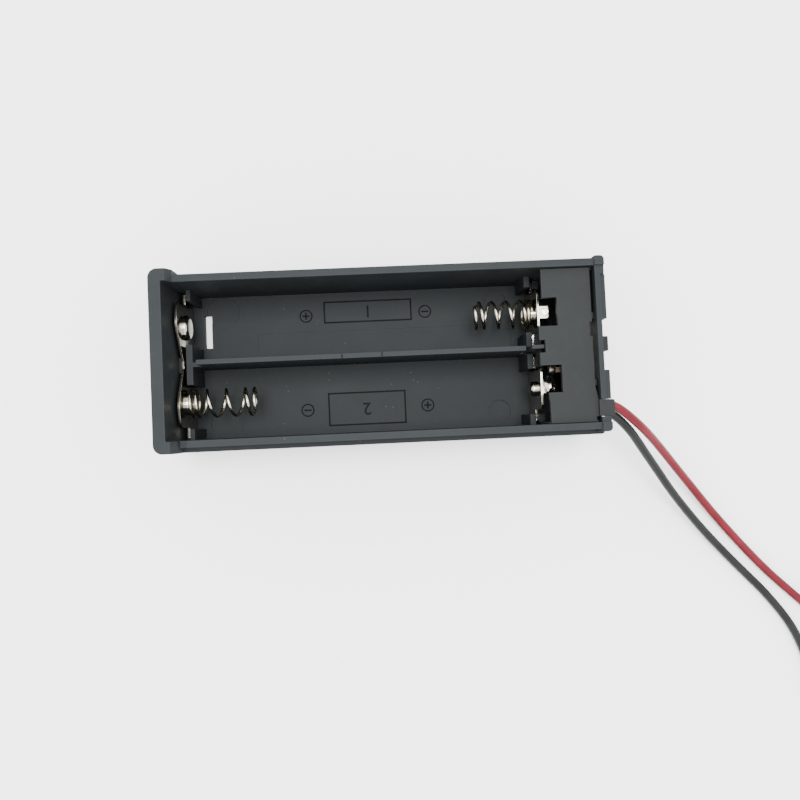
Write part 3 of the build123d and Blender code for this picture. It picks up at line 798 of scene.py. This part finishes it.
@dataclass
class SolderDrop:
    """A drop of solder on a contact's tab, uneven as a hand leaves it."""

    node: str
    material: bpy.types.Material
    seed: float
    lump: float = 0.16
    swell: float = 1.05

    def build(self) -> bpy.types.Object:
        """Models the drop round the solid that it stands for.

        Returns:
            The drop.
        """
        low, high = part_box(self.node)
        middle = (low + high) / 2
        width = (high - low).x / 2
        top = high.z
        bpy.ops.object.select_all(action="DESELECT")
        bpy.ops.mesh.primitive_uv_sphere_add(segments=40, ring_count=24, radius=1.0, location=(0, 0, 0))
        piece = bpy.context.view_layer.objects.active
        piece.name = self.node + "_drop"
        mesh = bmesh.new()
        mesh.from_mesh(piece.data)
        for vertex in mesh.verts:
            place = vertex.co.copy()
            lumps = noise.noise(place * 1.7 + Vector((self.seed, 0, 0))) * self.lump
            squeeze = 1.0 if place.z > -0.2 else 0.72
            out = width * self.swell * (1 + lumps) * squeeze
            height = (top - low.z) / 2
            vertex.co = Vector((place.x * out, place.y * out, place.z * height))
        mesh.to_mesh(piece.data)
        mesh.free()
        piece.location = middle
        settle(piece)
        outward(piece)
        smooth(piece, 80.0)
        dress(piece, self.material)
        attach(piece, ROOT)
        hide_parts(self.node)
        log.info("%s made", piece.name)
        return piece


@dataclass
class Lead:
    """A soft insulated wire: its route from the joint in solder to its coil, the coil, and the bare end."""

    name: str
    colour: str
    route: Sequence[Point]
    exit: Point
    coil_x: float
    coil_y: float
    entry: float
    turns: float
    length: float
    material: bpy.types.Material
    bare: bpy.types.Material
    diameter: float = 1.3
    coil_radius: float = 8.6
    coil_pitch: float = 1.45
    points_per_turn: int = 24
    strand_count: int = 6
    tip_diameter: float = 0.8
    tip_arc: float = 62.0
    tip_twists: float = 1.6

    def coil_point(self, turn: float) -> Point:
        """A point of the coil's middle line.

        Args:
            turn: How many turns the wire has made in the coil.

        Returns:
            The point in millimetres.
        """
        radius = self.coil_radius - self.coil_pitch * turn
        angle = math.radians(self.entry) + 2 * math.pi * turn
        return (self.coil_x + radius * math.cos(angle), self.coil_y + radius * math.sin(angle), self.diameter / 2)

    def line(self) -> list[Point]:
        """The control points of the whole wire, from its joint to the end of its insulation."""
        count = round(self.turns * self.points_per_turn)
        coil = [self.coil_point(self.turns * number / count) for number in range(count + 1)]
        return [*self.route, *coil]

    def strands(self) -> bpy.types.Object:
        """Twists the bare strands at the wire's end.

        Returns:
            The tinned end.
        """
        radius = self.coil_radius - self.coil_pitch * self.turns
        start = self.entry + 360 * self.turns
        strand = self.tip_diameter / 6
        steps = 36
        bpy.ops.object.select_all(action="DESELECT")
        bpy.ops.curve.primitive_nurbs_path_add(location=(0, 0, 0))
        piece = bpy.context.view_layer.objects.active
        curve = piece.data
        curve.splines.clear()
        for number in range(self.strand_count + 1):
            ring = 0.0 if number == self.strand_count else 2 * strand
            spline = curve.splines.new("POLY")
            spline.points.add(steps)
            for step, point in enumerate(spline.points):
                share = step / steps
                angle = math.radians(start + self.tip_arc * share)
                twist = 2 * math.pi * (number / self.strand_count + self.tip_twists * share)
                out = radius + ring * math.cos(twist)
                z = self.diameter / 2 + ring * math.sin(twist)
                place = (self.coil_x + out * math.cos(angle), self.coil_y + out * math.sin(angle), z)
                point.co = (*metres(place), 1.0)
        curve.bevel_depth = strand * MM
        curve.bevel_resolution = 3
        curve.use_fill_caps = True
        piece.name = self.name + "_strands"
        piece = as_mesh(piece)
        outward(piece)
        smooth(piece)
        dress(piece, self.bare)
        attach(piece, ROOT)
        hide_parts(self.name + "_tip")
        return piece

    def build(self) -> bpy.types.Object:
        """Lays the wire on its route and says what it is.

        Returns:
            The wire.
        """
        bpy.ops.object.select_all(action="DESELECT")
        bpy.ops.curve.primitive_nurbs_path_add(location=(0, 0, 0))
        piece = bpy.context.view_layer.objects.active
        curve = piece.data
        curve.splines.clear()
        points = self.line()
        spline = curve.splines.new("NURBS")
        spline.points.add(len(points) - 1)
        for point, place in zip(spline.points, points):
            point.co = (*metres(place), 1.0)
        spline.order_u = 3
        spline.use_endpoint_u = True
        spline.resolution_u = 8
        curve.bevel_depth = self.diameter / 2 * MM
        curve.bevel_resolution = 6
        curve.use_fill_caps = True
        piece.name = self.name + "_wire"
        dress(piece, self.material)
        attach(piece, ROOT)
        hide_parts(self.name + "_lead", self.name + "_coil")
        strands = self.strands()
        log.info("%s: %d points", piece.name, len(points))
        return piece


@dataclass
class CellMarks:
    """The raised marks in a bay's floor: a cell's outline, its signs and plain numbers."""

    name: str
    material: bpy.types.Material
    left: float
    right: float
    low: float
    high: float
    floor: float
    left_sign: Sign
    right_sign: Sign
    sign_y: float
    left_x: float
    right_x: float
    number: str
    line: float = 0.22
    height: float = 0.09
    sink: float = 0.05
    sign_radius: float = 0.95

    def bar(self, x0: float, x1: float, y0: float, y1: float) -> bpy.types.Object:
        """A low bar with soft edges that stands on the floor.

        Args:
            x0: Its left end in millimetres.
            x1: Its right end.
            y0: Its lower side.
            y1: Its upper side.

        Returns:
            The bar.
        """
        bpy.ops.object.select_all(action="DESELECT")
        middle = metres(((x0 + x1) / 2, (y0 + y1) / 2, self.floor - self.sink))
        bpy.ops.mesh.primitive_plane_add(size=1.0, location=middle)
        piece = bpy.context.view_layer.objects.active
        piece.scale = ((x1 - x0) * MM, (y1 - y0) * MM, 1.0)
        settle(piece)
        bpy.ops.object.mode_set(mode="EDIT")
        bpy.ops.mesh.select_all(action="SELECT")
        rise = (self.height + self.sink) * MM
        bpy.ops.mesh.extrude_region_move(TRANSFORM_OT_translate={"value": (0, 0, rise)})
        bpy.ops.mesh.bevel(offset=0.04 * MM, segments=2, affect="EDGES")
        bpy.ops.object.mode_set(mode="OBJECT")
        outward(piece)
        return piece

    def ring(self, x: float, y: float) -> bpy.types.Object:
        """A low round rim.

        Args:
            x: Its middle in millimetres.
            y: Its middle.

        Returns:
            The rim.
        """
        bpy.ops.object.select_all(action="DESELECT")
        bpy.ops.mesh.primitive_torus_add(
            location=metres((x, y, self.floor)),
            major_segments=40,
            minor_segments=8,
            major_radius=self.sign_radius * MM,
            minor_radius=self.height * MM,
        )
        piece = bpy.context.view_layer.objects.active
        settle(piece)
        return piece

    def sign(self, x: float, y: float, kind: Sign) -> list[bpy.types.Object]:
        """A plus or a minus in its round rim.

        Args:
            x: Its middle in millimetres.
            y: Its middle.
            kind: Which of the two.

        Returns:
            The meshes that it is made of.
        """
        reach = self.sign_radius * 0.6
        half = self.line / 2
        parts = [self.ring(x, y), self.bar(x - reach, x + reach, y - half, y + half)]
        if kind is Sign.PLUS:
            parts.append(self.bar(x - half, x + half, y - reach, y + reach))
        return parts

    def numeral(self, text: str, x: float, y: float, size: float) -> bpy.types.Object:
        """Plain numbers that read from the far side, as the bay's marks do.

        Args:
            text: The digits.
            x: Their middle in millimetres.
            y: Their middle.
            size: Their height in millimetres.

        Returns:
            The mesh of the digits.
        """
        bpy.ops.object.select_all(action="DESELECT")
        place = metres((x, y, self.floor - self.sink + (self.height + self.sink) / 2))
        bpy.ops.object.text_add(location=place, rotation=(0, 0, math.pi))
        piece = bpy.context.view_layer.objects.active
        piece.data.body = text
        piece.data.size = size * 1.4 * MM
        piece.data.extrude = (self.height + self.sink) / 2 * MM
        piece.data.align_x = "CENTER"
        piece.data.align_y = "CENTER"
        piece.data.space_character = 1.15
        piece = as_mesh(piece)
        settle(piece)
        outward(piece)
        return piece

    def build(self) -> bpy.types.Object:
        """Models all the marks of one bay as one piece.

        Returns:
            The marks.
        """
        left, right, low, high = self.left, self.right, self.low, self.high
        parts = [
            self.bar(left, right, low, low + self.line),
            self.bar(left, right, high - self.line, high),
            self.bar(left, left + self.line, low + self.line / 2, high - self.line / 2),
            self.bar(right - self.line, right, low + self.line / 2, high - self.line / 2),
            self.numeral(self.number, (left + right) / 2, (low + high) / 2, 2.0),
        ]
        parts += self.sign(self.left_x, self.sign_y, self.left_sign)
        parts += self.sign(self.right_x, self.sign_y, self.right_sign)
        piece = joined(self.name, parts)
        smooth(piece, 30.0)
        dress(piece, self.material)
        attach(piece, ROOT)
        log.info("%s made of %d marks", piece.name, len(parts))
        return piece


@dataclass
class Studio:
    """A plain pale floor, soft light from above and the camera."""

    camera_place: Point = (-0.178, -10.102, 113.401)
    camera_turn: Point = (0.034, -0.023, -0.045)
    lens: float = 31.5
    floor_size: float = 3.0
    floor_drop: float = 0.02

    def floor(self) -> None:
        """Lays the floor just under the holder's base."""
        bpy.ops.object.select_all(action="DESELECT")
        bpy.ops.mesh.primitive_plane_add(size=self.floor_size, location=(0, 0, -self.floor_drop * MM))
        plane = bpy.context.view_layer.objects.active
        plane.name = "pale_floor"
        sheet = new_material("pale_floor")
        dress(plane, finished(sheet, Base_Color=(0.93, 0.93, 0.93), Roughness=0.85))

    def lamp(self, name: str, place: Point, size: float, power: float) -> None:
        """Hangs a square soft light that points at the holder.

        Args:
            name: The light's name.
            place: Where it hangs, in metres.
            size: The length of its side, in metres.
            power: Its power in watts.
        """
        data = bpy.data.lights.new(name, "AREA")
        data.size = size
        data.energy = power
        light = bpy.data.objects.new(name, data)
        light.location = place
        light.rotation_euler = (-Vector(place)).to_track_quat("-Z", "Y").to_euler()
        bpy.context.scene.collection.objects.link(light)

    def sky(self, strength: float) -> None:
        """Lights the scene evenly from all round.

        Args:
            strength: How bright the surroundings are.
        """
        world = bpy.data.worlds.new("studio")
        world.use_nodes = True
        background = world.node_tree.nodes["Background"]
        background.inputs["Color"].default_value = (1.0, 1.0, 1.0, 1.0)
        background.inputs["Strength"].default_value = strength
        bpy.context.scene.world = world

    def camera(self) -> None:
        """Sets the camera where the view looks almost straight down at the open side."""
        data = bpy.data.cameras.new("camera")
        data.lens = self.lens
        data.clip_start = 0.005
        holder = bpy.data.objects.new("camera", data)
        holder.location = metres(self.camera_place)
        holder.rotation_euler = Euler(self.camera_turn, "XYZ")
        bpy.context.scene.collection.objects.link(holder)
        bpy.context.scene.camera = holder

    def build(self) -> None:
        """Builds the floor, the lights and the camera."""
        self.floor()
        self.sky(3.2)
        self.lamp("overhead", (0.0, 0.06, 0.62), 0.3, 6.5)
        self.camera()
        log.info("studio built")


RED_ROUTE: list[Point] = [
    (25.4, -0.6, 9.25),
    (26.3, -1.4, 10.75),
    (27.1, -3.0, 12.0),
    (27.2, -5.4, 12.1),
    (27.75, -7.2, 12.08),
    (29.2, -8.45, 12.03),
    (31.0, -8.7, 12.0),
    (33.0, -8.75, 12.0),
    (34.3, -9.35, 11.95),
    (36.4, -11.0, 11.3),
    (38.6, -12.75, 9.9),
    (41.4, -15.1, 7.3),
    (44.7, -18.4, 4.7),
    (48.4, -22.4, 2.5),
    (52.2, -26.9, 1.1),
    (56.2, -31.6, 0.66),
    (60.4, -36.4, 0.65),
    (64.6, -40.4, 0.66),
    (68.4, -43.96, 0.65),
]
BLACK_ROUTE: list[Point] = [
    (24.45, 5.4, 9.6),
    (24.45, 5.4, 7.0),
    (25.8, 3.8, 5.0),
    (26.4, 0.4, 3.2),
    (26.5, -3.6, 3.4),
    (26.9, -7.0, 5.6),
    (28.0, -9.0, 8.4),
    (29.8, -9.6, 10.6),
    (32.6, -9.7, 11.1),
    (34.0, -10.55, 11.0),
    (35.1, -11.55, 10.75),
    (36.4, -12.9, 10.2),
    (37.6, -14.4, 9.4),
    (39.4, -16.65, 8.05),
    (41.4, -19.1, 6.6),
    (44.0, -22.4, 4.8),
    (46.95, -25.85, 3.2),
    (50.05, -29.35, 1.9),
    (53.4, -32.9, 1.0),
    (56.6, -36.3, 0.66),
    (60.4, -40.3, 0.65),
    (64.6, -46.0, 0.66),
    (67.0, -53.0, 0.65),
    (68.54, -60.52, 0.65),
]


def build_springs(finishes: Finishes) -> None:
    """Winds both springs.

    Args:
        finishes: The holder's materials.
    """
    CoilSpring(
        node="link_spring",
        joint="link_spring_press",
        y=-5.8,
        z=6.45,
        fixed_x=-29.65,
        toward=1,
        length=10.65,
        base_pitch=0.9,
        base_turns=1.95,
        free_turns=2.55,
        travel=5.5,
        material=finishes.wire,
    ).build()
    CoilSpring(
        node="negative_spring",
        joint="negative_spring_press",
        y=5.8,
        z=6.45,
        fixed_x=23.25,
        toward=-1,
        length=9.2,
        base_pitch=0.53,
        base_turns=2.0,
        free_turns=3.0,
        travel=4.5,
        material=finishes.wire,
    ).build()


def build_leads(finishes: Finishes) -> None:
    """Lays both leads.

    Args:
        finishes: The holder's materials.
    """
    Lead(
        name="red",
        colour="red",
        route=RED_ROUTE,
        exit=(32.25, -8.7, 12.0),
        coil_x=76.6,
        coil_y=-40.0,
        entry=225.0,
        turns=1.9,
        length=154.7,
        material=finishes.red,
        bare=finishes.copper,
    ).build()
    Lead(
        name="black",
        colour="black",
        route=BLACK_ROUTE,
        exit=(32.25, -9.7, 11.05),
        coil_x=77.6,
        coil_y=-59.6,
        entry=205.0,
        turns=1.5,
        length=164.6,
        material=finishes.black,
        bare=finishes.copper,
    ).build()


def build_marks(finishes: Finishes) -> None:
    """Models the marks in both bays.

    Args:
        finishes: The holder's materials.
    """
    CellMarks(
        name="upper_bay_marks",
        material=finishes.marks,
        left=-9.05,
        right=5.07,
        low=6.4,
        high=9.9,
        floor=1.2,
        left_sign=Sign.PLUS,
        right_sign=Sign.MINUS,
        sign_y=7.7,
        left_x=-11.9,
        right_x=7.2,
        number="1",
    ).build()
    CellMarks(
        name="lower_bay_marks",
        material=finishes.marks,
        left=-8.9,
        right=3.5,
        low=-10.1,
        high=-4.8,
        floor=1.2,
        left_sign=Sign.MINUS,
        right_sign=Sign.PLUS,
        sign_y=-7.4,
        left_x=-12.2,
        right_x=7.0,
        number="2",
    ).build()


def main() -> None:
    """Builds the studio, the finishes and every sub-assembly in order."""
    logging.basicConfig(level=logging.INFO, format="%(message)s")
    Studio().build()
    finishes = Finishes.build()
    build_leads(finishes)
    MouldedParts(finishes).build()
    build_springs(finishes)
    SolderDrop("positive_solder", finishes.solder, 3.1, lump=0.34, swell=1.0).build()
    build_marks(finishes)


if __name__ == "__main__":
    main()
